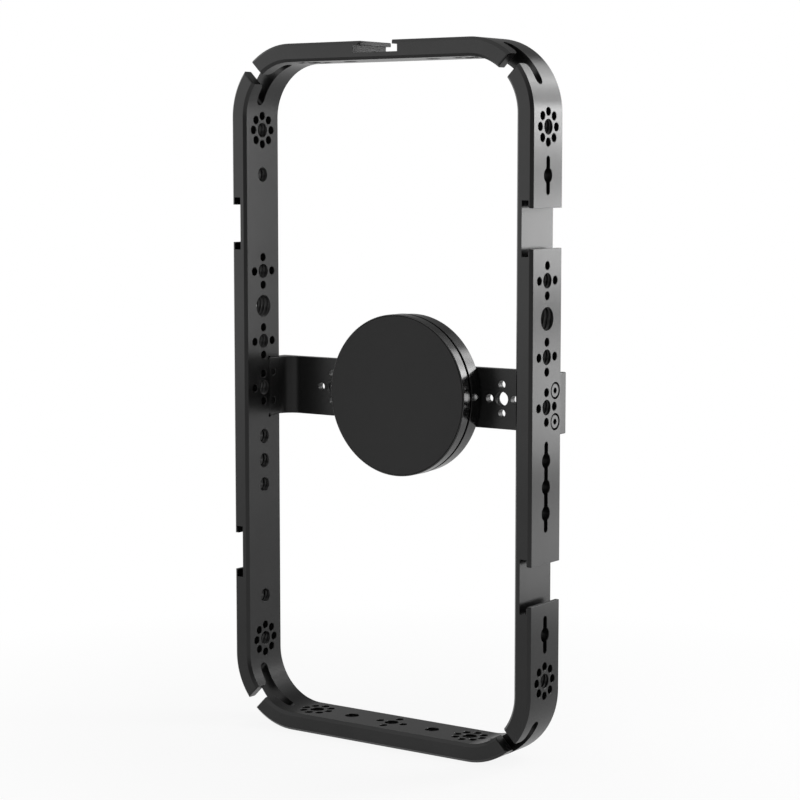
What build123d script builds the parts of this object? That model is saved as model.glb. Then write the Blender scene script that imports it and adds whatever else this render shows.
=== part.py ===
from math import copysign, degrees, sqrt
import os

from build123d import *

# A cage for a phone: a machined ring, a bar let into its back, and a magnetic head that turns on the bar.
# X runs across the cage, Z is up from the underside of the bottom rail, and the phone's side faces -Y.
# Y is zero at the middle of the rails' depth. Sizes are in millimetres and angles in degrees.

# The ring
cage_width = 128.0
cage_height = 248.0
cage_depth = 20.0
rail_wall = 6.5
corner_radius = 25.7
long_edge_chamfer = 1.0
cut_overrun = 2.0

# Tapped holes, drawn at the minor diameter of their thread, and the locating pin holes round them
quarter_tap_radius = 2.55
three_eighths_tap_radius = 3.95
pin_hole_radius = 1.45
flower_pin_count = 8
flower_circle_radius = 5.1
cross_pin_count = 4
cross_circle_radius = 5.05

# Places of the patterns on the side rails, measured from the middle of the cage's height
side_flower_reach = 93.9
side_single_reach = 77.8
upper_cross_height = 42.7
lower_cross_height = 17.0
three_eighths_height = 29.9
row_hole_drop = 18.1
row_hole_pitch = 9.0
row_hole_count = 3

# Places of the patterns on the top and bottom rails, measured from the middle of the cage's width
end_flower_reach = 33.5
end_single_reach = 17.6

# Slots milled along the outer side of the single holes, against twisting
twist_slot_width = 2.35
twist_slot_reach = 6.55
twist_slot_depth = 3.5

# Accessory shoes
side_shoe_reach = 60.2
shoe_mouth = 13.5
shoe_width = 18.8
shoe_lip = 1.4
shoe_undercut = 2.65
lip_corner_radius = 1.25
lip_edge_round = 0.6

# Strap slots through the four corners, with a notch that lets the strap in from the front
strap_slot_length = 20.2
strap_slot_width = 4.0
strap_slot_shift = 2.1
strap_notch_width = 4.8
strap_notch_round = 2.0
strap_mouth_radius = 0.8
# How far a mouth's round is set in behind the face that it opens, as a share of its radius
mouth_inset_share = 0.9

# The crossbar
bar_height = 21.2
bar_thickness = 3.0
bar_front = 14.4
bar_lug_front = 3.4
bar_lug_thickness = 4.0
bar_inner_round = 5.5
bar_back_round = 1.0
bar_edge_chamfer = 0.3
bar_pattern_reach = 36.9
bar_pocket_clearance = 0.05
bar_pocket_relief = 0.7

# The screws that hold the crossbar
bar_screw_place = 5.65
bar_screw_reach = 5.3
bar_screw_radius = 1.25
bar_screw_head_radius = 2.4
bar_screw_head_height = 1.4
bar_screw_length = 4.7
bar_screw_recess_radius = 2.95
bar_screw_recess_depth = 1.5
bar_screw_hole_radius = 1.35
hex_sides = 6
bar_screw_hex = 2.0
bar_screw_hex_depth = 0.9
screw_head_chamfer = 0.2
thread_clearance = 0.05

# The head's base, fixed to the bar
head_radius = 28.8
base_thickness = 6.5
base_lip = 0.9
base_step = 0.3
base_edge_chamfer = 0.5
rim_chamfer = 0.25
boss_radius = 5.0
boss_end_gap = 0.3
puck_screw_radius = 2.5
puck_screw_head_radius = 4.25
puck_screw_head_height = 1.5
puck_screw_length = 10.0
puck_screw_hex = 3.0
puck_screw_hex_depth = 1.1
puck_screw_bore_spare = 1.0
base_pin_radius = 1.4
base_pin_length = 6.6
base_pin_in_bar = 2.6
pin_clearance = 0.02

# The turning head, from the back plate forward
head_running_gap = 0.3
back_plate_thickness = 1.4
shunt_thickness = 0.5
magnet_thickness = 1.6
shell_web = 0.6
shell_wall = 1.2
shell_lap = 0.6
pad_thickness = 0.8
pad_proud = 0.15
pad_rim = 0.5
fit_clearance = 0.05

# The bearing of the head on the base's boss
bush_wall = 2.0
bush_flange_radius = 10.0
bush_flange_thickness = 0.25
running_clearance = 0.04
disc_spring_radius = 8.2
disc_spring_thickness = 0.25
disc_spring_height = 0.4
spring_bore_clearance = 0.2
axial_clearance = 0.03
retainer_thickness = 1.0
retainer_groove_depth = 0.3
retainer_radius = 6.8
retainer_ear_radius = 1.5
retainer_gap = 2.4
retainer_ear_hole_radius = 0.6
retainer_ear_share = 0.5

# The ring of magnets, just inside the shell's wall
magnet_wall_gap = 0.6
magnet_width = 4.0
magnet_count = 18
magnet_rib = 0.8
shunt_margin = 0.15
carrier_bore_radius = 9.0
carrier_clearance = 0.1

half_width = cage_width / 2
half_depth = cage_depth / 2
half_height = cage_height / 2
inner_width = cage_width - 2 * rail_wall
inner_height = cage_height - 2 * rail_wall
inner_corner_radius = corner_radius - rail_wall
bar_back = bar_front + bar_thickness
bar_reach = half_width - rail_wall + bar_lug_thickness
bar_inner_reach = half_width - rail_wall

# Stations of the head's pieces along Y, from the bar forward
base_front = bar_front - base_thickness
plate_back = base_front - head_running_gap
plate_front = plate_back - back_plate_thickness
magnet_back = plate_front - shunt_thickness
magnet_front = magnet_back - magnet_thickness
pad_back = magnet_front - shell_web
head_face = pad_back - pad_thickness
shell_front = head_face + pad_proud
shell_back = plate_front + shell_lap
boss_front = magnet_front + boss_end_gap
spring_back = plate_front - axial_clearance
spring_front = spring_back - disc_spring_height
retainer_back = spring_front - axial_clearance
retainer_front = retainer_back - retainer_thickness
cavity_radius = head_radius - shell_wall
plate_radius = cavity_radius - fit_clearance
magnet_outer_radius = cavity_radius - magnet_wall_gap
magnet_inner_radius = magnet_outer_radius - magnet_width


def side_plane(side, x):
    # Faces outwards on the rail on that side. Its first direction is the cage's +Y.
    return Plane(origin=(side * x, 0, half_height), x_dir=(0, 1, 0), z_dir=(side, 0, 0))


def head_plane(y):
    # Faces back along the head's axis
    return Plane(origin=(0, y, half_height), x_dir=(1, 0, 0), z_dir=(0, 1, 0))


def pin_circle(place, radius, count):
    with Locations(place):
        with PolarLocations(radius, count, start_angle=90):
            Circle(pin_hole_radius)


def open_mouth(half_mouth, edge, flare):
    # Rounds off the two corners that a channel leaves where it breaks through the face at that local height
    side = copysign(1, edge)
    inset = flare * mouth_inset_share
    start = edge - side * inset
    with Locations((0, start + side * (inset + cut_overrun) / 2)):
        Rectangle(2 * (half_mouth + flare), inset + cut_overrun)
    with Locations((half_mouth + flare, start), (-half_mouth - flare, start)):
        Circle(flare, mode=Mode.SUBTRACT)


def twist_slot(low, high):
    # A slot along the local Y direction, between the holes at those places and past both of them
    with Locations((0, (low + high) / 2)):
        SlotOverall(high - low + 2 * twist_slot_reach, twist_slot_width, rotation=90)


def magnet_outline(inner, outer, middle_angle, span):
    # A sector of a ring round the head's axis, at the front of the magnets
    with BuildSketch(head_plane(magnet_front)) as outline:
        with BuildLine():
            outer_arc = CenterArc((0, 0), outer, middle_angle - span / 2, span)
            inner_arc = CenterArc((0, 0), inner, middle_angle - span / 2, span)
            Line(outer_arc @ 0, inner_arc @ 0)
            Line(outer_arc @ 1, inner_arc @ 1)
        make_face()
    return outline.sketch


def turned_section(*corners):
    # A section with (radius, Y) corners, to be turned about the head's axis
    with BuildSketch(Plane.XY.offset(half_height)) as section:
        with BuildLine():
            Polyline(*corners, close=True)
        make_face()
    return section.sketch


def write(piece, name):
    piece.part.label = name
    export_step(piece.part, f"parts/{name}.step")


head_axis = Axis((0, 0, half_height), (0, 1, 0))

os.makedirs("parts", exist_ok=True)

# The ring

with BuildPart() as cage_frame:
    with BuildSketch(Plane.XZ.offset(-half_depth)):
        with Locations((0, half_height)):
            RectangleRounded(cage_width, cage_height, corner_radius)
            RectangleRounded(inner_width, inner_height, inner_corner_radius, mode=Mode.SUBTRACT)
    extrude(amount=cage_depth)
    chamfer(cage_frame.faces().filter_by(Axis.Y).edges(), long_edge_chamfer)

    # Shoes: an undercut straight through the rail, under two lips whose ends are rounded for the foot
    shoe_planes = [
        Plane(
            origin=(side * (half_width - shoe_lip), 0, half_height + end * side_shoe_reach),
            x_dir=(0, 0, 1),
            z_dir=(side, 0, 0),
        )
        for side in (1, -1)
        for end in (1, -1)
    ]
    shoe_planes.append(Plane.XY.offset(cage_height - shoe_lip))
    for shoe_plane in shoe_planes:
        with BuildSketch(shoe_plane):
            Rectangle(shoe_width, cage_depth + 2 * cut_overrun)
        extrude(amount=-shoe_undercut, mode=Mode.SUBTRACT)
        with BuildSketch(shoe_plane):
            Rectangle(shoe_mouth, cage_depth + 2 * cut_overrun)
            open_mouth(shoe_mouth / 2, half_depth, lip_corner_radius)
            open_mouth(shoe_mouth / 2, -half_depth, lip_corner_radius)
        extrude(amount=shoe_lip + cut_overrun, mode=Mode.SUBTRACT)

    # Strap slots, square to the diagonal of each corner, with a notch from the front
    strap_cut_depth = (
        corner_radius + 2 * cut_overrun - sqrt(inner_corner_radius**2 - (strap_slot_length / 2) ** 2)
    )
    for side in (1, -1):
        for end in (1, -1):
            diagonal = Vector(side, 0, end).normalized()
            corner_centre = Vector(
                side * (half_width - corner_radius), 0, half_height + end * (half_height - corner_radius)
            )
            # The plane's own Y direction is the cage's -Y
            strap_plane = Plane(
                origin=corner_centre + diagonal * (corner_radius + cut_overrun),
                x_dir=Vector(0, -1, 0).cross(diagonal),
                z_dir=diagonal,
            )
            with BuildSketch(strap_plane) as strap_cut:
                notch_length = half_depth + cut_overrun - strap_slot_shift
                with Locations((0, strap_slot_shift)):
                    SlotOverall(strap_slot_length, strap_slot_width)
                    Rectangle(strap_notch_width, notch_length, align=(Align.CENTER, Align.MIN))
                notch_roots = [
                    strap_cut.vertices().sort_by_distance(
                        Vector(hand * strap_notch_width / 2, strap_slot_shift + strap_slot_width / 2)
                    )[0]
                    for hand in (1, -1)
                ]
                fillet(notch_roots, strap_notch_round)
                open_mouth(strap_notch_width / 2, half_depth, strap_mouth_radius)
            extrude(amount=-strap_cut_depth, mode=Mode.SUBTRACT)

    # Holes through both side rails at once
    row_hole_heights = [-row_hole_drop - number * row_hole_pitch for number in range(row_hole_count)]
    cross_heights = [upper_cross_height, lower_cross_height, 0]
    flower_heights = [side_flower_reach, -side_flower_reach]
    single_heights = [side_single_reach, -side_single_reach]
    with BuildSketch(Plane.YZ.offset(0)):
        with Locations((0, half_height)):
            for height in flower_heights + single_heights + cross_heights + row_hole_heights:
                with Locations((0, height)):
                    Circle(quarter_tap_radius)
            with Locations((0, three_eighths_height)):
                Circle(three_eighths_tap_radius)
            for height in flower_heights:
                pin_circle((0, height), flower_circle_radius, flower_pin_count)
            for height in cross_heights:
                pin_circle((0, height), cross_circle_radius, cross_pin_count)
    extrude(amount=half_width + cut_overrun, both=True, mode=Mode.SUBTRACT)

    # Holes through the top and bottom rails at once, then the cross in the middle of the bottom rail
    end_reaches = [end_flower_reach, -end_flower_reach, end_single_reach, -end_single_reach]
    with BuildSketch(Plane.XY.offset(-cut_overrun)):
        for reach in end_reaches:
            with Locations((reach, 0)):
                Circle(quarter_tap_radius)
        for reach in (end_flower_reach, -end_flower_reach):
            pin_circle((reach, 0), flower_circle_radius, flower_pin_count)
    extrude(amount=cage_height + 2 * cut_overrun, mode=Mode.SUBTRACT)
    with BuildSketch(Plane.XY.offset(-cut_overrun)):
        Circle(quarter_tap_radius)
        pin_circle((0, 0), cross_circle_radius, cross_pin_count)
    extrude(amount=rail_wall + 2 * cut_overrun, mode=Mode.SUBTRACT)

    # Slots against twisting, in the outer faces only
    for side in (1, -1):
        with BuildSketch(side_plane(side, half_width)):
            for height in single_heights:
                twist_slot(side * height, side * height)
            twist_slot(*sorted((side * row_hole_heights[0], side * row_hole_heights[-1])))
        extrude(amount=-twist_slot_depth, mode=Mode.SUBTRACT)
    for end_plane in (Plane.XY.offset(cage_height), Plane.XY.rotated((180, 0, 0))):
        with BuildSketch(end_plane):
            with Locations((end_single_reach, 0), (-end_single_reach, 0)):
                SlotOverall(2 * twist_slot_reach, twist_slot_width)
        extrude(amount=-twist_slot_depth, mode=Mode.SUBTRACT)

    # Pockets for the crossbar's lugs, with the mill's relief in their corners, and the screws' holes
    pocket_front = bar_lug_front - bar_pocket_clearance
    pocket_height = bar_height + 2 * bar_pocket_clearance
    for side in (1, -1):
        with BuildSketch(side_plane(side, bar_inner_reach - cut_overrun)):
            with Locations((pocket_front, 0)):
                Rectangle(
                    half_depth + cut_overrun - pocket_front,
                    pocket_height,
                    align=(Align.MIN, Align.CENTER),
                )
            with Locations((pocket_front, pocket_height / 2), (pocket_front, -pocket_height / 2)):
                Circle(bar_pocket_relief)
        extrude(amount=bar_lug_thickness + cut_overrun, mode=Mode.SUBTRACT)
        with Locations(side_plane(side, half_width)):
            with Locations((bar_screw_place, bar_screw_reach), (bar_screw_place, -bar_screw_reach)):
                CounterBoreHole(
                    bar_screw_hole_radius,
                    bar_screw_recess_radius,
                    bar_screw_recess_depth,
                    depth=rail_wall,
                )
    lip_edges = ShapeList()
    for shoe_plane in shoe_planes:
        for hand in (1, -1):
            lip_tip = shoe_plane.from_local_coords(Vector(hand * shoe_mouth / 2, 0, shoe_lip))
            lip_edges.append(cage_frame.edges().sort_by_distance(lip_tip)[0])
    fillet(lip_edges, lip_edge_round)
write(cage_frame, "cage_frame")

# The crossbar: a plate behind the head, with a lug forward into each rail

with BuildPart() as crossbar:
    with BuildSketch(Plane.XY.offset(half_height - bar_height / 2)) as bar_plan:
        with Locations((0, bar_lug_front)):
            Rectangle(2 * bar_reach, bar_back - bar_lug_front, align=(Align.CENTER, Align.MIN))
            Rectangle(
                2 * bar_inner_reach,
                bar_front - bar_lug_front,
                align=(Align.CENTER, Align.MIN),
                mode=Mode.SUBTRACT,
            )
        back_corners = bar_plan.vertices().group_by(Axis.Y)[-1]
        fillet(back_corners, bar_back_round)
        inner_corners = [
            bar_plan.vertices().sort_by_distance(Vector(side * bar_inner_reach, bar_front))[0]
            for side in (1, -1)
        ]
        fillet(inner_corners, bar_inner_round)
    extrude(amount=bar_height)
    chamfer(crossbar.faces().filter_by(Axis.Z).edges(), bar_edge_chamfer)
    with BuildSketch(head_plane(bar_front - cut_overrun)):
        for place in (-bar_pattern_reach, 0, bar_pattern_reach):
            with Locations((place, 0)):
                Circle(quarter_tap_radius)
            pin_circle((place, 0), cross_circle_radius, cross_pin_count)
    extrude(amount=bar_thickness + 2 * cut_overrun, mode=Mode.SUBTRACT)
    with BuildSketch(Plane.YZ.offset(0)):
        with Locations((bar_screw_place, half_height)):
            with Locations((0, bar_screw_reach), (0, -bar_screw_reach)):
                Circle(bar_screw_radius + thread_clearance)
    extrude(amount=bar_reach + cut_overrun, both=True, mode=Mode.SUBTRACT)
write(crossbar, "crossbar")


for side, name in ((1, "bar_screws_right"), (-1, "bar_screws_left")):
    seat = side_plane(side, half_width - bar_screw_recess_depth)
    with BuildPart() as bar_screws:
        with BuildSketch(seat):
            with Locations((bar_screw_place, bar_screw_reach), (bar_screw_place, -bar_screw_reach)):
                Circle(bar_screw_head_radius)
        extrude(amount=bar_screw_head_height)
        crowns = bar_screws.faces().filter_by(Axis.X).group_by(Axis(seat.origin, seat.z_dir))[-1]
        chamfer(crowns.edges(), screw_head_chamfer)
        with BuildSketch(seat):
            with Locations((bar_screw_place, bar_screw_reach), (bar_screw_place, -bar_screw_reach)):
                Circle(bar_screw_radius)
        extrude(amount=-bar_screw_length)
        with BuildSketch(side_plane(side, half_width - bar_screw_recess_depth + bar_screw_head_height)):
            with Locations((bar_screw_place, bar_screw_reach), (bar_screw_place, -bar_screw_reach)):
                RegularPolygon(bar_screw_hex / 2, hex_sides, major_radius=False)
        extrude(amount=-bar_screw_hex_depth, mode=Mode.SUBTRACT)
    write(bar_screws, name)

# The head's base: a thick disc with a lip, and a boss on which the head turns

with BuildPart() as puck_base:
    section = turned_section(
        (0, boss_front),
        (boss_radius, boss_front),
        (boss_radius, retainer_front - axial_clearance),
        (boss_radius - retainer_groove_depth, retainer_front - axial_clearance),
        (boss_radius - retainer_groove_depth, retainer_back + axial_clearance),
        (boss_radius, retainer_back + axial_clearance),
        (boss_radius, base_front),
        (head_radius, base_front),
        (head_radius, base_front + base_lip),
        (head_radius - base_step, base_front + base_lip),
        (head_radius - base_step, bar_front),
        (0, bar_front),
    )
    revolve(section, axis=head_axis)
    outer_edges = puck_base.edges().filter_by(GeomType.CIRCLE).filter_by(
        lambda edge: edge.radius > cavity_radius
    )
    chamfer(outer_edges.group_by(Axis.Y)[0], rim_chamfer)
    chamfer(outer_edges.group_by(Axis.Y)[-1], base_edge_chamfer)
    with Locations(head_plane(bar_front)):
        Hole(
            puck_screw_radius + thread_clearance,
            depth=puck_screw_length - bar_thickness + puck_screw_bore_spare,
        )
        with Locations((cross_circle_radius, 0), (-cross_circle_radius, 0)):
            Hole(base_pin_radius + pin_clearance, depth=base_pin_length - base_pin_in_bar)
write(puck_base, "puck_base")

with BuildPart() as base_pins:
    with BuildSketch(head_plane(bar_front + base_pin_in_bar)):
        with Locations((cross_circle_radius, 0), (-cross_circle_radius, 0)):
            Circle(base_pin_radius)
    extrude(amount=-base_pin_length)
write(base_pins, "base_pins")

with BuildPart() as puck_screw:
    with BuildSketch(head_plane(bar_back)):
        Circle(puck_screw_head_radius)
    extrude(amount=puck_screw_head_height)
    chamfer(puck_screw.faces().sort_by(Axis.Y)[-1].edges(), screw_head_chamfer)
    with BuildSketch(head_plane(bar_back)):
        Circle(puck_screw_radius)
    extrude(amount=-puck_screw_length)
    with BuildSketch(head_plane(bar_back + puck_screw_head_height)):
        RegularPolygon(puck_screw_hex / 2, hex_sides, major_radius=False)
    extrude(amount=-puck_screw_hex_depth, mode=Mode.SUBTRACT)
write(puck_screw, "puck_screw")

# The bearing: a flanged bush in the head, a conical spring washer and a circlip on the boss

with BuildPart() as pivot_bush:
    section = turned_section(
        (boss_radius + running_clearance, plate_front),
        (boss_radius + bush_wall, plate_front),
        (boss_radius + bush_wall, plate_back),
        (bush_flange_radius, plate_back),
        (bush_flange_radius, plate_back + bush_flange_thickness),
        (boss_radius + running_clearance, plate_back + bush_flange_thickness),
    )
    revolve(section, axis=head_axis)
write(pivot_bush, "pivot_bush")

with BuildPart() as disc_spring:
    section = turned_section(
        (boss_radius + spring_bore_clearance, spring_front),
        (boss_radius + spring_bore_clearance, spring_front + disc_spring_thickness),
        (disc_spring_radius, spring_back),
        (disc_spring_radius, spring_back - disc_spring_thickness),
    )
    revolve(section, axis=head_axis)
write(disc_spring, "disc_spring")

with BuildPart() as retaining_ring:
    with BuildSketch(head_plane(retainer_front)):
        Circle(retainer_radius)
        ear_place = retainer_gap / 2 + retainer_ear_radius * retainer_ear_share
        with Locations((ear_place, retainer_radius), (-ear_place, retainer_radius)):
            Circle(retainer_ear_radius)
            Circle(retainer_ear_hole_radius, mode=Mode.SUBTRACT)
        Circle(boss_radius - retainer_groove_depth + pin_clearance, mode=Mode.SUBTRACT)
        Rectangle(retainer_gap, 2 * retainer_radius, align=(Align.CENTER, Align.MIN), mode=Mode.SUBTRACT)
    extrude(amount=retainer_thickness)
write(retaining_ring, "retaining_ring")

# The turning head

with BuildPart() as head_back_plate:
    section = turned_section(
        (boss_radius + bush_wall, plate_front),
        (plate_radius, plate_front),
        (plate_radius, plate_back),
        (boss_radius + bush_wall, plate_back),
    )
    revolve(section, axis=head_axis)
write(head_back_plate, "head_back_plate")

with BuildPart() as head_shell:
    section = turned_section(
        (0, pad_back),
        (head_radius - pad_rim, pad_back),
        (head_radius - pad_rim, shell_front),
        (head_radius, shell_front),
        (head_radius, shell_back),
        (cavity_radius, shell_back),
        (cavity_radius, magnet_front),
        (0, magnet_front),
    )
    revolve(section, axis=head_axis)
    shell_rims = head_shell.edges().filter_by(GeomType.CIRCLE).filter_by(
        lambda edge: edge.radius > head_radius - pad_rim / 2
    )
    chamfer(shell_rims, rim_chamfer)
write(head_shell, "head_shell")

with BuildPart() as grip_pad:
    with BuildSketch(head_plane(head_face)):
        Circle(head_radius - pad_rim - fit_clearance)
    extrude(amount=pad_thickness)
    chamfer(grip_pad.faces().sort_by(Axis.Y)[0].edges(), pad_proud)
write(grip_pad, "grip_pad")

magnet_pitch = 360 / magnet_count
magnet_middle_radius = (magnet_inner_radius + magnet_outer_radius) / 2
magnet_span = magnet_pitch - degrees(magnet_rib / magnet_middle_radius)
pocket_span = magnet_span + degrees(2 * fit_clearance / magnet_middle_radius)

with BuildPart() as magnet_carrier:
    with BuildSketch(head_plane(magnet_front)):
        Circle(cavity_radius - carrier_clearance)
        Circle(carrier_bore_radius, mode=Mode.SUBTRACT)
    extrude(amount=plate_front - magnet_front)
    with BuildSketch(head_plane(magnet_back)):
        Circle(magnet_outer_radius + shunt_margin)
        Circle(magnet_inner_radius - shunt_margin, mode=Mode.SUBTRACT)
    extrude(amount=shunt_thickness, mode=Mode.SUBTRACT)
    for number in range(magnet_count):
        pocket = magnet_outline(
            magnet_inner_radius - fit_clearance,
            magnet_outer_radius + fit_clearance,
            number * magnet_pitch,
            pocket_span,
        )
        extrude(pocket, amount=magnet_thickness, mode=Mode.SUBTRACT)
write(magnet_carrier, "magnet_carrier")

with BuildPart() as shunt_ring:
    with BuildSketch(head_plane(magnet_back)):
        Circle(magnet_outer_radius + shunt_margin - fit_clearance)
        Circle(magnet_inner_radius - shunt_margin + fit_clearance, mode=Mode.SUBTRACT)
    extrude(amount=shunt_thickness)
write(shunt_ring, "shunt_ring")

for number in range(magnet_count):
    outline = magnet_outline(magnet_inner_radius, magnet_outer_radius, number * magnet_pitch, magnet_span)
    with BuildPart() as magnet:
        extrude(outline, amount=magnet_thickness)
    write(magnet, f"magnet_{number + 1:02d}")
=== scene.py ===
import math

import bmesh
import bpy
from mathutils import Matrix, Vector


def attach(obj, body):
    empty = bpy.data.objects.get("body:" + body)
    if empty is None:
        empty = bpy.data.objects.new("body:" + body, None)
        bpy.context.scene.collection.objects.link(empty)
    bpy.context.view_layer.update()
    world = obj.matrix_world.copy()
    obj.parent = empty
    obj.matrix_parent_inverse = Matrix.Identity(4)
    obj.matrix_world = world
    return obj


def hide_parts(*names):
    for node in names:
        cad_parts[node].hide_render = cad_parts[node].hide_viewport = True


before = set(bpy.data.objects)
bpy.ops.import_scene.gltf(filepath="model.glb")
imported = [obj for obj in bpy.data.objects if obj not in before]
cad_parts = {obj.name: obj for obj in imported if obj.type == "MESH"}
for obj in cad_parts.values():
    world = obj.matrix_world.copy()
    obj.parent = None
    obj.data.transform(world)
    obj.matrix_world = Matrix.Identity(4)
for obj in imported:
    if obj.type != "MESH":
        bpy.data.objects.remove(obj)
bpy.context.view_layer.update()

mm = 0.001  # the pieces' sizes are written in millimetres and turned to metres by this
near = {"cut": 0.004, "sliver": 0.002, "spun": 0.001, "axis": 0.000001}  # points closer than this are one
over = 2.0  # how far a cutter runs past the face it opens
hands = {"right": 1, "left": -1}

ring = {
    "width": 128.0, "height": 248.0, "depth": 20.0, "wall": 6.5,
    "cornerRadius": 25.7, "cornerSteps": 28, "longChamfer": 1.0, "chamferAngle": 60,
    "edgeBreak": 0.14, "breakSteps": 2, "breakAngle": 28,
}
halfWidth, halfHeight, halfDepth = ring["width"] / 2, ring["height"] / 2, ring["depth"] / 2


def plainMesh(bm, name):
    mesh = bpy.data.meshes.new(name)
    bm.to_mesh(mesh)
    bm.free()
    return mesh


def closedMesh(bm, name):
    # a closed shape, with its faces turned outwards
    bmesh.ops.recalc_face_normals(bm, faces=bm.faces)
    return plainMesh(bm, name)


def newObject(name, data):
    piece = bpy.data.objects.new(name, data)
    bpy.context.scene.collection.objects.link(piece)
    return piece


def bake(piece):
    # takes the modifiers' result as the piece's own mesh
    bpy.context.view_layer.update()
    result = bpy.data.meshes.new_from_object(piece.evaluated_get(bpy.context.evaluated_depsgraph_get()))
    old = piece.data
    piece.modifiers.clear()
    piece.data = result
    bpy.data.meshes.remove(old)


def tidied(piece):
    # joins the points that a cut leaves on top of each other
    bm = bmesh.new()
    bm.from_mesh(piece.data)
    bmesh.ops.remove_doubles(bm, verts=bm.verts, dist=near["cut"] * mm)
    bmesh.ops.dissolve_degenerate(bm, edges=bm.edges, dist=near["sliver"] * mm)
    bm.to_mesh(piece.data)
    bm.free()


def cutAway(piece, bm, name):
    # takes the closed shapes in bm out of the piece
    cutter = newObject(name, closedMesh(bm, name))
    cut = piece.modifiers.new(name, "BOOLEAN")
    cut.operation = "DIFFERENCE"
    cut.solver = "EXACT"
    cut.object = cutter
    bake(piece)
    tidied(piece)
    old = cutter.data
    bpy.data.objects.remove(cutter)
    bpy.data.meshes.remove(old)


def breakEdges(piece, width, steps, angle):
    edge = piece.modifiers.new("edges", "BEVEL")
    edge.width = width * mm
    edge.segments = steps
    edge.limit_method = "ANGLE"
    edge.angle_limit = math.radians(angle)
    edge.harden_normals = False
    bake(piece)
    tidied(piece)


def smooth(piece, angle):
    # rounds are shaded smooth, and flat faces keep their own direction right up to them
    for face in piece.data.polygons:
        face.use_smooth = True
    piece.data.set_sharp_from_angle(angle=math.radians(angle))
    weigh = piece.modifiers.new("normals", "WEIGHTED_NORMAL")
    weigh.keep_sharp = True
    weigh.weight = 100
    bake(piece)


def finished(piece, material, body, nodes, angle=30):
    smooth(piece, angle)
    piece.data.materials.clear()
    piece.data.materials.append(material)
    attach(piece, body)
    if nodes:
        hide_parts(*nodes)


def outline(bm, width, height, radius, steps):
    # a rounded rectangle on the XZ plane, as one face
    verts = bmesh.ops.create_grid(bm, x_segments=1, y_segments=1, size=0.5)["verts"]
    bmesh.ops.scale(bm, vec=(width * mm, height * mm, 1), verts=verts)
    bmesh.ops.rotate(bm, cent=(0, 0, 0), matrix=Matrix.Rotation(math.pi / 2, 3, "X"), verts=verts)
    bmesh.ops.bevel(bm, geom=verts, offset=radius * mm, offset_type="OFFSET", segments=steps, profile=0.5,
                    affect="VERTICES", material=-1)


def extruded(bm, faces, shift):
    # pushes faces along a vector and closes the solid
    grown = bmesh.ops.extrude_face_region(bm, geom=faces)
    verts = [item for item in grown["geom"] if isinstance(item, bmesh.types.BMVert)]
    bmesh.ops.translate(bm, vec=shift, verts=verts)


def merged(target, source, matrix):
    # moves one bmesh into another, placed by a matrix
    mesh = plainMesh(source, "part")
    mesh.transform(matrix)
    target.from_mesh(mesh)
    bpy.data.meshes.remove(mesh)


def placed(origin, outward, along):
    # a matrix whose Z points outward and whose X runs along the rail
    z = Vector(outward).normalized()
    x = Vector(along).normalized()
    y = z.cross(x)
    turn = Matrix((x, y, z)).transposed().to_4x4()
    return Matrix.Translation(Vector(origin) * mm) @ turn


# the outer faces of the four rails, with X along the rail
rails = {
    "right": placed((halfWidth, 0, halfHeight), (1, 0, 0), (0, 0, 1)),
    "left": placed((-halfWidth, 0, halfHeight), (-1, 0, 0), (0, 0, 1)),
    "top": placed((0, 0, ring["height"]), (0, 0, 1), (1, 0, 0)),
    "bottom": placed((0, 0, 0), (0, 0, -1), (1, 0, 0)),
}


def at(matrix, along, across=0.0, out=0.0):
    return matrix @ Matrix.Translation(Vector((along, across, out)) * mm)


def drill(bm, matrix, radius, low, high, steps):
    # a round bar from low to high along the matrix's Z
    place = matrix @ Matrix.Translation((0, 0, (low + high) / 2 * mm))
    bmesh.ops.create_cone(bm, cap_ends=True, segments=steps, radius1=radius * mm, radius2=radius * mm,
                          depth=(high - low) * mm, matrix=place)


def prism(bm, matrix, points, low, high):
    # a prism over a closed outline, from low to high along the matrix's Z
    shape = bmesh.new()
    face = shape.faces.new([shape.verts.new((x * mm, y * mm, low * mm)) for x, y in points])
    extruded(shape, [face], (0, 0, (high - low) * mm))
    bmesh.ops.recalc_face_normals(shape, faces=shape.faces)
    merged(bm, shape, matrix)


def arc(cx, cy, radius, start, end, steps):
    turns = [math.radians(start + (end - start) * step / steps) for step in range(steps + 1)]
    return [(cx + radius * math.cos(turn), cy + radius * math.sin(turn)) for turn in turns]


def mirrored(points):
    # the same points on the other side of the middle, from the last to the first
    return [(-x, y) for x, y in reversed(points)]


def joined(bm, verts):
    for one, two in zip(verts, verts[1:]):
        bm.edges.new((one, two))


def spun(bm, centre, axis, steps):
    # a full turn of everything in bm, closed on itself
    bmesh.ops.spin(bm, geom=bm.verts[:] + bm.edges[:], cent=centre, axis=axis, angle=math.tau, steps=steps,
                   use_merge=True)
    bmesh.ops.remove_doubles(bm, verts=bm.verts, dist=near["spun"] * mm)


print("stage: ring")


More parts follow.
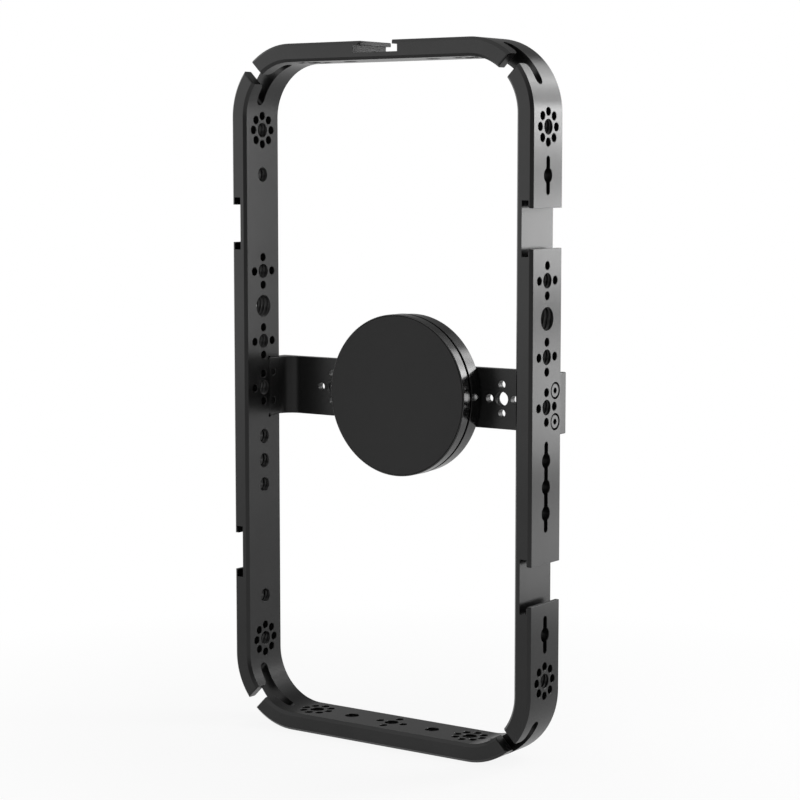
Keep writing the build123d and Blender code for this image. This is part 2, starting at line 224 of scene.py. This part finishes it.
def makeRing():
    bm = bmesh.new()
    for inset in (0.0, ring["wall"]):
        loop = bmesh.new()
        outline(loop, ring["width"] - 2 * inset, ring["height"] - 2 * inset, ring["cornerRadius"] - inset,
                ring["cornerSteps"])
        bmesh.ops.delete(loop, geom=list(loop.faces), context="FACES_ONLY")
        merged(bm, loop, Matrix.Translation(Vector((0, -halfDepth, halfHeight)) * mm))
    bmesh.ops.bridge_loops(bm, edges=bm.edges)
    extruded(bm, list(bm.faces), (0, ring["depth"] * mm, 0))
    bmesh.ops.recalc_face_normals(bm, faces=bm.faces)
    sharp = [edge for edge in bm.edges if edge.calc_face_angle(0) > math.radians(ring["chamferAngle"])]
    bmesh.ops.bevel(bm, geom=sharp, offset=ring["longChamfer"] * mm, offset_type="OFFSET", segments=1,
                    profile=0.5, affect="EDGES", material=-1)
    return newObject("cage_ring", closedMesh(bm, "cage_ring"))


def mouthEnd(half, flare, inset, steps):
    # the open end of a channel's plan: out along its right side with a rounded mouth, past the cage's face
    # and back in along its left side
    start, far = halfDepth - flare * inset, halfDepth + over
    right = arc(half + flare, start, flare, 180, 90, steps)
    return right + [(half + flare, far), (-half - flare, far)] + mirrored(right)


# the accessory shoes: inset is the share of the corner's radius that lies inside the face, and lines nearer
# than found to the lip's outer side are its edges
shoe = {
    "reach": 60.2, "mouth": 13.5, "width": 18.8, "lip": 1.4, "undercut": 2.65,
    "corner": 1.25, "cornerSteps": 8, "inset": 0.9, "round": 0.6, "roundSteps": 4, "found": 0.02,
}


def roundLips(piece, places):
    # the lips' outer edges along the mouth, with the curved ends that lead into them
    bm = bmesh.new()
    bm.from_mesh(piece.data)
    half, found = shoe["mouth"] / 2 * mm, shoe["found"] * mm
    reach = half + shoe["corner"] * mm
    rims = []
    for place in places:
        local = place.inverted()
        lying = set()
        for vert in bm.verts:
            spot = local @ vert.co
            if abs(spot.z) < found and half - found < abs(spot.x) < reach and abs(spot.y) < halfDepth * mm:
                lying.add(vert)
        rims += [edge for edge in bm.edges if lying.issuperset(edge.verts)]
    bmesh.ops.bevel(bm, geom=rims, offset=shoe["round"] * mm, offset_type="OFFSET",
                    segments=shoe["roundSteps"], profile=0.5, affect="EDGES", material=-1, clamp_overlap=True)
    bm.to_mesh(piece.data)
    bm.free()


def cutShoes(piece):
    places = [at(rails[side], reach) for side in hands for reach in (shoe["reach"], -shoe["reach"])]
    places.append(rails["top"])
    under, mouth = bmesh.new(), bmesh.new()
    half, deep, floor = shoe["width"] / 2, halfDepth + over, shoe["lip"] + shoe["undercut"]
    box = [(half, deep), (-half, deep), (-half, -deep), (half, -deep)]
    front = mouthEnd(shoe["mouth"] / 2, shoe["corner"], shoe["inset"], shoe["cornerSteps"])
    plan = front + [(x, -y) for x, y in reversed(front)]
    for place in places:
        prism(under, place, box, -floor, -shoe["lip"])
        prism(mouth, place, plan, -shoe["lip"] - shoe["undercut"] / 2, over)
    cutAway(piece, under, "shoe_undercuts")
    cutAway(piece, mouth, "shoe_mouths")
    roundLips(piece, places)


# the strap slots through the corners, and the notch that opens each to the front
strap = {
    "length": 20.2, "width": 4.0, "shift": 2.1, "endSteps": 14, "notch": 4.8, "root": 2.0, "rootSteps": 8,
    "mouth": 0.8, "mouthSteps": 8, "inset": 0.9,
}


def strapPlaces():
    inward = ring["cornerRadius"]
    for side in (1, -1):
        for end in (1, -1):
            diagonal = Vector((side, 0, end)).normalized()
            centre = Vector((side * (halfWidth - inward), 0, halfHeight + end * (halfHeight - inward)))
            yield placed(centre + diagonal * inward, diagonal, Vector((0, -1, 0)).cross(diagonal))


def cutStrapSlots(piece):
    inner = ring["cornerRadius"] - ring["wall"]
    deep = ring["cornerRadius"] + over - math.sqrt(inner ** 2 - (strap["length"] / 2) ** 2)
    half, notch, root = strap["width"] / 2, strap["notch"] / 2, strap["root"]
    straight = strap["length"] / 2 - half
    edge = strap["shift"] + half  # the slot's side towards the front
    mouth = mouthEnd(notch, strap["mouth"], strap["inset"], strap["mouthSteps"])
    right = arc(notch + root, edge + root, root, 270, 180, strap["rootSteps"])
    ends = (arc(-straight, strap["shift"], half, 90, 270, strap["endSteps"])
            + arc(straight, strap["shift"], half, -90, 90, strap["endSteps"]))
    bm = bmesh.new()
    for place in strapPlaces():
        prism(bm, place, right + mouth + mirrored(right) + ends, -deep, over)
    cutAway(piece, bm, "strap_slots")


# tapped and plain holes: rim is how far a mouth's edge is broken, lip the plain length before the thread, and
# the last three are shares of the thread's pitch
holes = {
    "quarterRadius": 2.55, "quarterRoot": 3.12, "quarterPitch": 1.27,
    "largeRadius": 3.95, "largeRoot": 4.7, "largePitch": 1.5875, "pinRadius": 1.45,
    "flowerCircle": 5.1, "flowerPins": 8, "crossCircle": 5.05, "crossPins": 4,
    "steps": 40, "pinSteps": 28, "threadSteps": 28, "rim": 0.14, "lip": 0.3,
    "crestEnd": 0.14, "rootStart": 0.52, "rootEnd": 0.62,
}
# how far the patterns lie from the middle of their rail
reaches = {
    "sideFlowers": (93.9, -93.9), "sideSingles": (77.8, -77.8), "sideCrosses": (42.7, 17.0, 0.0),
    "sideRow": (-18.1, -27.1, -36.1), "sideLarge": 29.9, "endFlowers": (33.5, -33.5),
    "endSingles": (17.6, -17.6),
}
twistSlot = {"width": 2.35, "reach": 6.55, "depth": 3.5, "steps": 12}


def circlePlaces(matrix, radius, count):
    for number in range(count):
        turn = math.radians(90 + number * 360 / count)
        yield at(matrix, radius * math.sin(turn), radius * math.cos(turn))


def bore(bm, matrix, radius, wall, steps, root=0.0, shallow=0.0, deep=0.0):
    # a cutter for a hole through a wall whose face is the matrix's XY plane, with broken edges and, between
    # two depths, an undercut where a thread is laid in
    rim, spare = holes["rim"], holes["rim"] / 2
    wide = radius + rim + spare
    profile = [(0, over), (wide, over), (wide, spare), (radius, -rim)]
    if root:
        profile += [(radius, -shallow), (root, -shallow), (root, -deep), (radius, -deep)]
    profile += [(radius, rim - wall), (wide, -wall - spare), (wide, -wall - over), (0, -wall - over)]
    shape = bmesh.new()
    joined(shape, [shape.verts.new((r * mm, 0, z * mm)) for r, z in profile])
    spun(shape, (0, 0, 0), (0, 0, 1), steps)
    bmesh.ops.recalc_face_normals(shape, faces=shape.faces)
    merged(bm, shape, matrix)


def laidThread(bm, matrix, crest, root, pitch, shallow, deep):
    # the helical wall of a tapped hole, wound past its two depths and trimmed to them
    turns, steps = math.ceil((deep - shallow) / pitch) + 1, holes["threadSteps"]
    profile = [(crest, 0), (crest, holes["crestEnd"]), (root, holes["rootStart"]), (root, holes["rootEnd"]),
               (crest, 1.0)]
    shape = bmesh.new()
    start = -deep - pitch
    joined(shape, [shape.verts.new((r * mm, 0, (start + share * pitch) * mm)) for r, share in profile])
    bmesh.ops.spin(shape, geom=shape.verts[:] + shape.edges[:], cent=(0, 0, 0), axis=(0, 0, 1),
                   dvec=(0, 0, pitch / steps * mm), angle=math.tau * turns, steps=steps * turns)
    bmesh.ops.remove_doubles(shape, verts=shape.verts, dist=near["sliver"] * mm)
    for depth, outward in ((shallow, 1), (deep, -1)):
        bmesh.ops.bisect_plane(shape, geom=shape.verts[:] + shape.edges[:] + shape.faces[:],
                               dist=near["spun"] * mm, plane_co=(0, 0, -depth * mm),
                               plane_no=(0, 0, outward), clear_outer=True)
    bmesh.ops.recalc_face_normals(shape, faces=shape.faces)
    shape.faces.ensure_lookup_table()
    face = shape.faces[0]
    centre = face.calc_center_median()
    if face.normal.x * centre.x + face.normal.y * centre.y > 0:
        bmesh.ops.reverse_faces(shape, faces=shape.faces)
    merged(bm, shape, matrix)


def pinPlaces():
    crowds = [(rails[side], reaches["sideFlowers"], "flower") for side in hands]
    crowds += [(rails[side], reaches["sideCrosses"], "cross") for side in hands]
    crowds += [(rails[end], reaches["endFlowers"], "flower") for end in ("top", "bottom")]
    crowds.append((rails["bottom"], (0.0,), "cross"))
    for rail, middles, kind in crowds:
        for reach in middles:
            yield from circlePlaces(at(rail, reach), holes[kind + "Circle"], holes[kind + "Pins"])


def slottedPlaces():
    # every anti-twist slot: its middle, and how far it reaches to each side
    first, last = reaches["sideRow"][0], reaches["sideRow"][-1]
    for side in hands:
        for reach in reaches["sideSingles"]:
            yield at(rails[side], reach), twistSlot["reach"]
        yield at(rails[side], (first + last) / 2), (first - last) / 2 + twistSlot["reach"]
    for end in ("top", "bottom"):
        for reach in reaches["endSingles"]:
            yield at(rails[end], reach), twistSlot["reach"]


def cutTwistSlots(piece):
    bm = bmesh.new()
    half, steps = twistSlot["width"] / 2, twistSlot["steps"]
    for place, reach in slottedPlaces():
        straight = reach - half
        plan = arc(straight, 0, half, -90, 90, steps) + arc(-straight, 0, half, 90, 270, steps)
        prism(bm, place, plan, -twistSlot["depth"], over)
    cutAway(piece, bm, "twist_slots")


def tappedPlaces():
    # every tapped hole: place, kind, whether its outer side is slotted
    for side in hands:
        for reach in reaches["sideFlowers"] + reaches["sideCrosses"]:
            yield at(rails[side], reach), "quarter", False
        for reach in reaches["sideSingles"] + reaches["sideRow"]:
            yield at(rails[side], reach), "quarter", True
        yield at(rails[side], reaches["sideLarge"]), "large", False
    for end in ("top", "bottom"):
        for reach in reaches["endFlowers"]:
            yield at(rails[end], reach), "quarter", False
        for reach in reaches["endSingles"]:
            yield at(rails[end], reach), "quarter", True
    yield rails["bottom"], "quarter", False


# the crossbar, whose front and lugFront are measured back from the ring's middle, and its screws
bar = {
    "height": 21.2, "thickness": 3.0, "front": 14.4, "lugFront": 3.4, "lugThickness": 4.0,
    "innerRound": 5.5, "innerSteps": 14, "backRound": 1.0, "backSteps": 8, "pattern": 36.9,
    "edgeBreak": 0.28, "breakSteps": 2, "breakAngle": 40,
    "pocketGap": 0.05, "relief": 0.7, "reliefSteps": 20,
}
barScrew = {
    "place": 5.65, "reach": 5.3, "shankRadius": 1.25, "clearance": 0.05,
    "recess": 2.95, "recessDepth": 1.5, "recessSteps": 48,
}


def screwPlaces():
    for side, hand in hands.items():
        for end in (1, -1):
            yield at(rails[side], end * barScrew["reach"], -hand * barScrew["place"])


def cutPockets(piece):
    front, half = bar["lugFront"] - bar["pocketGap"], bar["height"] / 2 + bar["pocketGap"]
    deep = bar["lugThickness"]
    pocket, corners, recess = bmesh.new(), bmesh.new(), bmesh.new()
    for side, hand in hands.items():
        # the matrix's Y points to the cage's front on the right rail and to its back on the left one
        inside = at(rails[side], 0, 0, -ring["wall"])
        back, face = -hand * (halfDepth + over), -hand * front
        prism(pocket, inside, [(half, face), (half, back), (-half, back), (-half, face)], -over, deep)
        for end in (1, -1):
            drill(corners, at(inside, end * half, face), bar["relief"], -over, deep, bar["reliefSteps"])
    for spot in screwPlaces():
        drill(recess, spot, barScrew["recess"], -barScrew["recessDepth"], over, barScrew["recessSteps"])
    cutAway(piece, pocket, "lug_pockets")
    cutAway(piece, corners, "pocket_relief")
    cutAway(piece, recess, "screw_recesses")


def drillFrame(piece):
    # pin holes and tapped holes, and the threads that are laid into the tapped ones
    pins, taps, threads = bmesh.new(), bmesh.new(), bmesh.new()
    for place in pinPlaces():
        bore(pins, place, holes["pinRadius"], ring["wall"], holes["pinSteps"])
    for place, kind, slotted in tappedPlaces():
        shallow, deep = holes["lip"], ring["wall"] - holes["lip"]
        if slotted:
            shallow = twistSlot["depth"] + holes["lip"]
        radius, root, pitch = holes[kind + "Radius"], holes[kind + "Root"], holes[kind + "Pitch"]
        bore(taps, place, radius, ring["wall"], holes["steps"], root, shallow, deep)
        laidThread(threads, place, radius, root, pitch, shallow, deep)
    cutAway(piece, pins, "pin_holes")
    cutAway(piece, taps, "tapped_holes")
    return newObject("cage_threads", plainMesh(threads, "cage_threads"))


ringPiece = makeRing()
cutShoes(ringPiece)
cutStrapSlots(ringPiece)
cutTwistSlots(ringPiece)
cutPockets(ringPiece)
breakEdges(ringPiece, ring["edgeBreak"], ring["breakSteps"], ring["breakAngle"])
ringThreads = drillFrame(ringPiece)
print("ring faces", len(ringPiece.data.polygons), "thread faces", len(ringThreads.data.polygons))

print("stage: crossbar")


def barPlan():
    # half of the bar from the inner round to the back of the lug, and its mirror image
    inside, back = halfWidth - ring["wall"], bar["front"] + bar["thickness"]
    reach = inside + bar["lugThickness"]
    inner, outer = bar["innerRound"], bar["backRound"]
    half = (arc(inside - inner, bar["front"] - inner, inner, 90, 0, bar["innerSteps"])
            + [(inside, bar["lugFront"]), (reach, bar["lugFront"])]
            + arc(reach - outer, back - outer, outer, 0, 90, bar["backSteps"]))
    return half + mirrored(half)


def makeBar():
    bm = bmesh.new()
    place = Matrix.Translation(Vector((0, 0, halfHeight)) * mm)
    prism(bm, place, barPlan(), -bar["height"] / 2, bar["height"] / 2)
    piece = newObject("crossbar_body", closedMesh(bm, "crossbar_body"))
    breakEdges(piece, bar["edgeBreak"], bar["breakSteps"], bar["breakAngle"])
    back = placed((0, bar["front"] + bar["thickness"], halfHeight), (0, 1, 0), (1, 0, 0))
    pins, taps, threads, screwHoles = bmesh.new(), bmesh.new(), bmesh.new(), bmesh.new()
    shallow, deep = holes["lip"], bar["thickness"] - holes["lip"]
    radius, root, pitch = holes["quarterRadius"], holes["quarterRoot"], holes["quarterPitch"]
    for along in (-bar["pattern"], 0, bar["pattern"]):
        middle = at(back, along)
        for spot in circlePlaces(middle, holes["crossCircle"], holes["crossPins"]):
            bore(pins, spot, holes["pinRadius"], bar["thickness"], holes["pinSteps"])
        bore(taps, middle, radius, bar["thickness"], holes["steps"], root, shallow, deep)
        if along:  # the middle hole holds the head's screw and shows no thread
            laidThread(threads, middle, radius, root, pitch, shallow, deep)
    for spot in screwPlaces():
        lug = at(spot, 0, 0, bar["lugThickness"] - ring["wall"])
        bore(screwHoles, lug, barScrew["shankRadius"] + barScrew["clearance"], bar["lugThickness"],
             holes["pinSteps"])
    for name, cutters in (("bar_pins", pins), ("bar_taps", taps), ("bar_screw_holes", screwHoles)):
        cutAway(piece, cutters, name)
    return piece, newObject("crossbar_threads", plainMesh(threads, "crossbar_threads"))


barPiece, barThreads = makeBar()

print("stage: head")

# the head, in the order of its pieces from the face back
head = {
    "radius": 28.8, "turnSteps": 144, "roundSteps": 4, "roundAngle": 40,
    "face": 2.7, "pad": 0.8, "padProud": 0.15, "padRim": 0.5, "padSeat": 0.02, "padSteps": 3, "gap": 0.06,
    "web": 0.6, "shellBack": 6.8, "shellWall": 1.2, "rimRound": 0.22,
    "baseFront": 7.9, "lip": 0.9, "step": 0.3, "baseBack": 14.4, "baseBevel": 0.5, "baseRound": 0.18,
    "baseAngle": 30, "boss": 5.0, "bossFront": 4.4, "groove": 0.3, "grooveFront": 4.71, "grooveBack": 5.77,
    "screwBore": 2.55, "screwDeep": 8.0, "pinBore": 1.42, "pinDeep": 4.0,
}


def turned(name, profile):
    # turns a closed profile of (radius, y) points about the head's axis
    bm = bmesh.new()
    verts = [bm.verts.new((r * mm, y * mm, halfHeight * mm)) for r, y in profile]
    for one, two in zip(verts, verts[1:] + verts[:1]):
        if max(one.co.x, two.co.x) > near["axis"] * mm:
            bm.edges.new((one, two))
    spun(bm, (0, 0, halfHeight * mm), (0, 1, 0), head["turnSteps"])
    return newObject(name, closedMesh(bm, name))


def makePad():
    radius, face = head["radius"] - head["padRim"] - head["gap"], head["face"]
    back = face + head["pad"] - head["padSeat"]
    piece = turned("grip_face", [(0, face), (radius, face), (radius, back), (0, back)])
    breakEdges(piece, head["padProud"], head["padSteps"], head["roundAngle"])
    return piece


def makeShell():
    radius, back = head["radius"], head["shellBack"]
    rim, cavity = radius - head["padRim"], radius - head["shellWall"]
    front, webFront = head["face"] + head["padProud"], head["face"] + head["pad"]
    webBack = webFront + head["web"]
    profile = [(0, webFront), (rim, webFront), (rim, front), (radius, front), (radius, back), (cavity, back),
               (cavity, webBack), (0, webBack)]
    piece = turned("head_cap", profile)
    breakEdges(piece, head["rimRound"], head["roundSteps"], head["roundAngle"])
    return piece


def makeBase():
    radius, front, back = head["radius"], head["baseFront"], head["baseBack"]
    bevel, small = head["baseBevel"], head["radius"] - head["step"]
    boss, grooved = head["boss"], head["boss"] - head["groove"]
    profile = [(0, head["bossFront"]), (boss, head["bossFront"]), (boss, head["grooveFront"]),
               (grooved, head["grooveFront"]), (grooved, head["grooveBack"]), (boss, head["grooveBack"]),
               (boss, front), (radius, front), (radius, front + head["lip"]), (small, front + head["lip"]),
               (small, back - bevel), (small - bevel, back), (0, back)]
    piece = turned("head_base", profile)
    breakEdges(piece, head["baseRound"], head["roundSteps"], head["baseAngle"])
    bores = bmesh.new()
    face = placed((0, back, halfHeight), (0, 1, 0), (1, 0, 0))
    drill(bores, face, head["screwBore"], -head["screwDeep"], over, holes["steps"])
    for along in (holes["crossCircle"], -holes["crossCircle"]):
        drill(bores, at(face, along), head["pinBore"], -head["pinDeep"], over, holes["pinSteps"])
    cutAway(piece, bores, "base_bores")
    return piece


padPiece, shellPiece, basePiece = makePad(), makeShell(), makeBase()

print("stage: finishes")

# the noise behind every finish, and where its tone runs from dark to light
mottle = {"fineDetail": 3, "cloudDetail": 4, "toneFrom": 0.3, "toneTo": 0.7}


def noise(tree, place, scale, detail):
    texture = tree.nodes.new("ShaderNodeTexNoise")
    texture.inputs["Scale"].default_value = scale
    texture.inputs["Detail"].default_value = detail
    tree.links.new(place.outputs["Object"], texture.inputs["Vector"])
    return texture.outputs["Fac"]


def makeFinish(name, look):
    # a machined, anodised or moulded surface: cloudy tone, grain and fine bump on the object's coordinates
    material = bpy.data.materials.new(name)
    material.use_nodes = True
    tree = material.node_tree
    nodes, links = tree.nodes, tree.links
    shader = nodes["Principled BSDF"]
    place = nodes.new("ShaderNodeTexCoord")
    fine = noise(tree, place, look["grain"], mottle["fineDetail"])
    cloud = noise(tree, place, look["cloud"], mottle["cloudDetail"])
    tone = nodes.new("ShaderNodeValToRGB")
    ends = ((look["dark"], mottle["toneFrom"]), (look["light"], mottle["toneTo"]))
    for element, (grey, position) in zip(tone.color_ramp.elements, ends):
        element.color = (grey, grey, grey * look.get("blue", 1.0), 1)
        element.position = position
    links.new(cloud, tone.inputs["Fac"])
    links.new(tone.outputs["Color"], shader.inputs["Base Color"])
    rough = nodes.new("ShaderNodeMapRange")
    rough.inputs["To Min"].default_value = look["rough"] - look["roughSpread"]
    rough.inputs["To Max"].default_value = look["rough"] + look["roughSpread"]
    links.new(fine, rough.inputs["Value"])
    links.new(rough.outputs["Result"], shader.inputs["Roughness"])
    bump = nodes.new("ShaderNodeBump")
    bump.inputs["Strength"].default_value = look["bump"]
    bump.inputs["Distance"].default_value = look["depth"] * mm
    links.new(fine, bump.inputs["Height"])
    links.new(bump.outputs["Normal"], shader.inputs["Normal"])
    shader.inputs["Metallic"].default_value = look["metal"]
    shader.inputs["Specular IOR Level"].default_value = look.get("shine", 0.5)
    return material


looks = {
    "frame": {"dark": 0.034, "light": 0.039, "grain": 5200, "cloud": 45, "rough": 0.29, "roughSpread": 0.05,
              "bump": 0.3, "depth": 0.02, "metal": 0.85},
    "bar": {"dark": 0.020, "light": 0.024, "grain": 5200, "cloud": 60, "rough": 0.30, "roughSpread": 0.05,
            "bump": 0.3, "depth": 0.02, "metal": 0.2, "shine": 0.3},
    "gloss": {"dark": 0.006, "light": 0.008, "grain": 3000, "cloud": 70, "rough": 0.19, "roughSpread": 0.02,
              "bump": 0.02, "depth": 0.01, "metal": 0.0},
    "pad": {"dark": 0.018, "light": 0.022, "grain": 6500, "cloud": 30, "rough": 0.75, "roughSpread": 0.05,
            "bump": 0.4, "depth": 0.03, "metal": 0.0},
    "screw": {"dark": 0.038, "light": 0.046, "grain": 4000, "cloud": 300, "rough": 0.29,
              "roughSpread": 0.05, "bump": 0.2, "depth": 0.02, "metal": 0.85},
    "dowel": {"dark": 0.20, "light": 0.26, "grain": 3000, "cloud": 200, "rough": 0.4, "roughSpread": 0.08,
              "bump": 0.2, "depth": 0.02, "metal": 1.0},
    "steel": {"dark": 0.42, "light": 0.5, "grain": 3000, "cloud": 200, "rough": 0.32, "roughSpread": 0.08,
              "bump": 0.2, "depth": 0.02, "metal": 1.0},
    "bronze": {"dark": 0.30, "light": 0.42, "blue": 0.45, "grain": 3500, "cloud": 200, "rough": 0.4,
               "roughSpread": 0.08, "bump": 0.3, "depth": 0.02, "metal": 1.0},
}
finish = {name: makeFinish(name + "_finish", look) for name, look in looks.items()}
threadAngle = 40  # threads stay smooth across wider angles than the other pieces

finished(ringPiece, finish["frame"], "cage", ["cage_frame"])
finished(ringThreads, finish["frame"], "cage", (), threadAngle)
finished(barPiece, finish["bar"], "cage", ["crossbar"])
finished(barThreads, finish["bar"], "cage", (), threadAngle)
finished(padPiece, finish["pad"], "head", ["grip_pad"])
finished(shellPiece, finish["gloss"], "head", ["head_shell"])
finished(basePiece, finish["gloss"], "cage", ["puck_base"])

# the pieces that show the frame's own meshes; the magnets are steel too
carried = {
    "head_back_plate": "bar", "bar_screws_right": "screw", "bar_screws_left": "screw",
    "puck_screw": "screw", "base_pins": "dowel", "pivot_bush": "bronze", "disc_spring": "steel",
    "retaining_ring": "steel", "magnet_carrier": "pad", "shunt_ring": "steel",
}
for name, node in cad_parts.items():
    look = carried.get(name, "steel" if name.startswith("magnet_") else None)
    if look:
        node.data.materials.clear()
        node.data.materials.append(finish[look])

print("stage: camera and light")

# places in metres, angles in degrees, lens and sensor in millimetres
view = {
    "place": (0.451668, -0.637277, 0.204816), "turn": 35.106, "tilt": -6.002, "lens": 100.04, "sensor": 36.0,
    "clip": 0.01,
}


def addCamera():
    camera = bpy.data.cameras.new("camera")
    camera.lens = view["lens"]
    camera.sensor_width = view["sensor"]
    camera.clip_start = view["clip"]
    holder = newObject("camera", camera)
    holder.location = view["place"]
    holder.rotation_euler = (math.radians(90 + view["tilt"]), 0, math.radians(view["turn"]))
    bpy.context.scene.camera = holder


# lamps in metres, watts and degrees; one without its own aim or spread takes the first two
lampAim, lampSpread = (0, 0, 0.12), 180
lamps = {
    "near_top": {"place": (0.115, 0.155, 0.325), "size": (0.10, 0.08), "power": 0.095},
    "near_high": {"place": (0.155, 0.155, 0.232), "size": (0.065, 0.042), "power": 0.110},
    "near_mid": {"place": (0.155, 0.155, 0.175), "size": (0.065, 0.045), "power": 0.066},
    "near_low": {"place": (0.155, 0.155, 0.110), "size": (0.065, 0.055), "power": 0.055},
    "near_foot": {"place": (0.155, 0.155, 0.045), "size": (0.065, 0.045), "power": 0.020},
    "right_side": {"place": (0.9, 0.1, 0.35), "size": (0.5, 0.5), "power": 0.4},
    "front_left": {"place": (-0.7, -0.8, 0.09), "size": (0.6, 0.5), "power": 0.95},
    "back_right": {"place": (0.52, 0.9, 0.47), "size": (0.25, 0.25), "power": 0.019,
                   "aim": (0.045, 0, 0.19), "spread": 20},
    "back_fill": {"place": (0.36, 0.9, 0.62), "size": (0.2, 0.2), "power": 0.009,
                  "aim": (0.045, 0, 0.19), "spread": 20},
    "back_mid": {"place": (0.43, 0.9, 0.17), "size": (0.25, 0.3), "power": 0.35},
}


def addLamp(name, look):
    lamp = bpy.data.lights.new(name, "AREA")
    lamp.shape = "RECTANGLE"
    lamp.size, lamp.size_y = look["size"]
    lamp.energy = look["power"]
    lamp.spread = math.radians(look.get("spread", lampSpread))
    holder = newObject(name, lamp)
    holder.location = look["place"]
    towards = Vector(look.get("aim", lampAim)) - Vector(look["place"])
    holder.rotation_euler = towards.to_track_quat("-Z", "Y").to_euler()
    holder.visible_camera = False


# the room is dimmer towards these directions: direction, cosine where it starts, where it ends, share left
darkSides = (
    ((0.81, -0.58, 0.0), 0.55, 0.98, 0.1),
    ((-0.42, 0.70, 0.58), 0.70, 0.94, 0.15),
    ((0.57, 0.82, 0.0), 0.75, 0.98, 0.35),
)
roomLight = 0.36  # how bright the room is for the light that surfaces scatter
floorLook = {
    "size": 6.0, "colour": 0.9, "rough": 0.8, "mirrored": 0.65,
    "nearWhite": 0.9, "nearReach": 0.05, "farReach": 0.25,
}
white = (1, 1, 1, 1)


def mathNode(tree, operation, one, two):
    node = tree.nodes.new("ShaderNodeMath")
    node.operation = operation
    for socket, value in zip(node.inputs, (one, two)):
        if isinstance(value, (int, float)):
            socket.default_value = value
        else:
            tree.links.new(value, socket)
    return node.outputs[0]


def mixed(tree, factor, one, two, output):
    mix = tree.nodes.new("ShaderNodeMixShader")
    tree.links.new(factor, mix.inputs["Fac"])
    tree.links.new(one.outputs[0], mix.inputs[1])
    tree.links.new(two.outputs[0], mix.inputs[2])
    tree.links.new(mix.outputs[0], output.inputs["Surface"])


def seenWhite(tree, reflected):
    # how much of the white background a ray sees: all of it from the camera or through something clear, and
    # the given share in a reflection
    path = tree.nodes.new("ShaderNodeLightPath")
    straight = mathNode(tree, "MAXIMUM", path.outputs["Is Camera Ray"], path.outputs["Is Transmission Ray"])
    glossy = mathNode(tree, "MULTIPLY", path.outputs["Is Glossy Ray"], reflected)
    return mathNode(tree, "MAXIMUM", straight, glossy)


def addRoom():
    # white to the camera, white with dimmer sides in reflections, and a dim room to everything else
    world = bpy.data.worlds.new("room")
    bpy.context.scene.world = world
    world.use_nodes = True
    tree = world.node_tree
    place = tree.nodes.new("ShaderNodeTexCoord")
    share = 1.0
    for direction, start, end, left in darkSides:
        towards = tree.nodes.new("ShaderNodeVectorMath")
        towards.operation = "DOT_PRODUCT"
        towards.inputs[1].default_value = direction
        tree.links.new(place.outputs["Generated"], towards.inputs[0])
        shade = tree.nodes.new("ShaderNodeMapRange")
        shade.inputs["From Min"].default_value, shade.inputs["From Max"].default_value = start, end
        shade.inputs["To Min"].default_value, shade.inputs["To Max"].default_value = 1.0, left
        tree.links.new(towards.outputs["Value"], shade.inputs["Value"])
        share = mathNode(tree, "MULTIPLY", share, shade.outputs["Result"])
    dim, bright = tree.nodes["Background"], tree.nodes.new("ShaderNodeBackground")
    dim.inputs["Color"].default_value = bright.inputs["Color"].default_value = white
    tree.links.new(mathNode(tree, "MULTIPLY", share, roomLight), dim.inputs["Strength"])
    mixed(tree, seenWhite(tree, share), dim, bright, tree.nodes["World Output"])


def addFloor():
    # a matte floor that keeps the object's shadow and turns to plain white away from it
    bm = bmesh.new()
    bmesh.ops.create_grid(bm, x_segments=1, y_segments=1, size=floorLook["size"])
    floor = newObject("floor", closedMesh(bm, "floor"))
    material = bpy.data.materials.new("floor_white")
    material.use_nodes = True
    tree = material.node_tree
    shader = tree.nodes["Principled BSDF"]
    shader.inputs["Base Color"].default_value = [floorLook["colour"]] * 3 + [1]
    shader.inputs["Roughness"].default_value = floorLook["rough"]
    place = tree.nodes.new("ShaderNodeTexCoord")
    far = tree.nodes.new("ShaderNodeVectorMath")
    far.operation = "LENGTH"
    tree.links.new(place.outputs["Object"], far.inputs[0])
    fade = tree.nodes.new("ShaderNodeMapRange")
    fade.inputs["From Min"].default_value = floorLook["nearReach"]
    fade.inputs["From Max"].default_value = floorLook["farReach"]
    fade.inputs["To Min"].default_value = floorLook["nearWhite"]
    tree.links.new(far.outputs["Value"], fade.inputs["Value"])
    glow = tree.nodes.new("ShaderNodeEmission")
    share = mathNode(tree, "MULTIPLY", seenWhite(tree, floorLook["mirrored"]), fade.outputs["Result"])
    mixed(tree, share, shader, glow, tree.nodes["Material Output"])
    floor.data.materials.append(material)


addCamera()
addRoom()
addFloor()
for name, look in lamps.items():
    addLamp(name, look)
bpy.context.scene.view_settings.view_transform = "Standard"
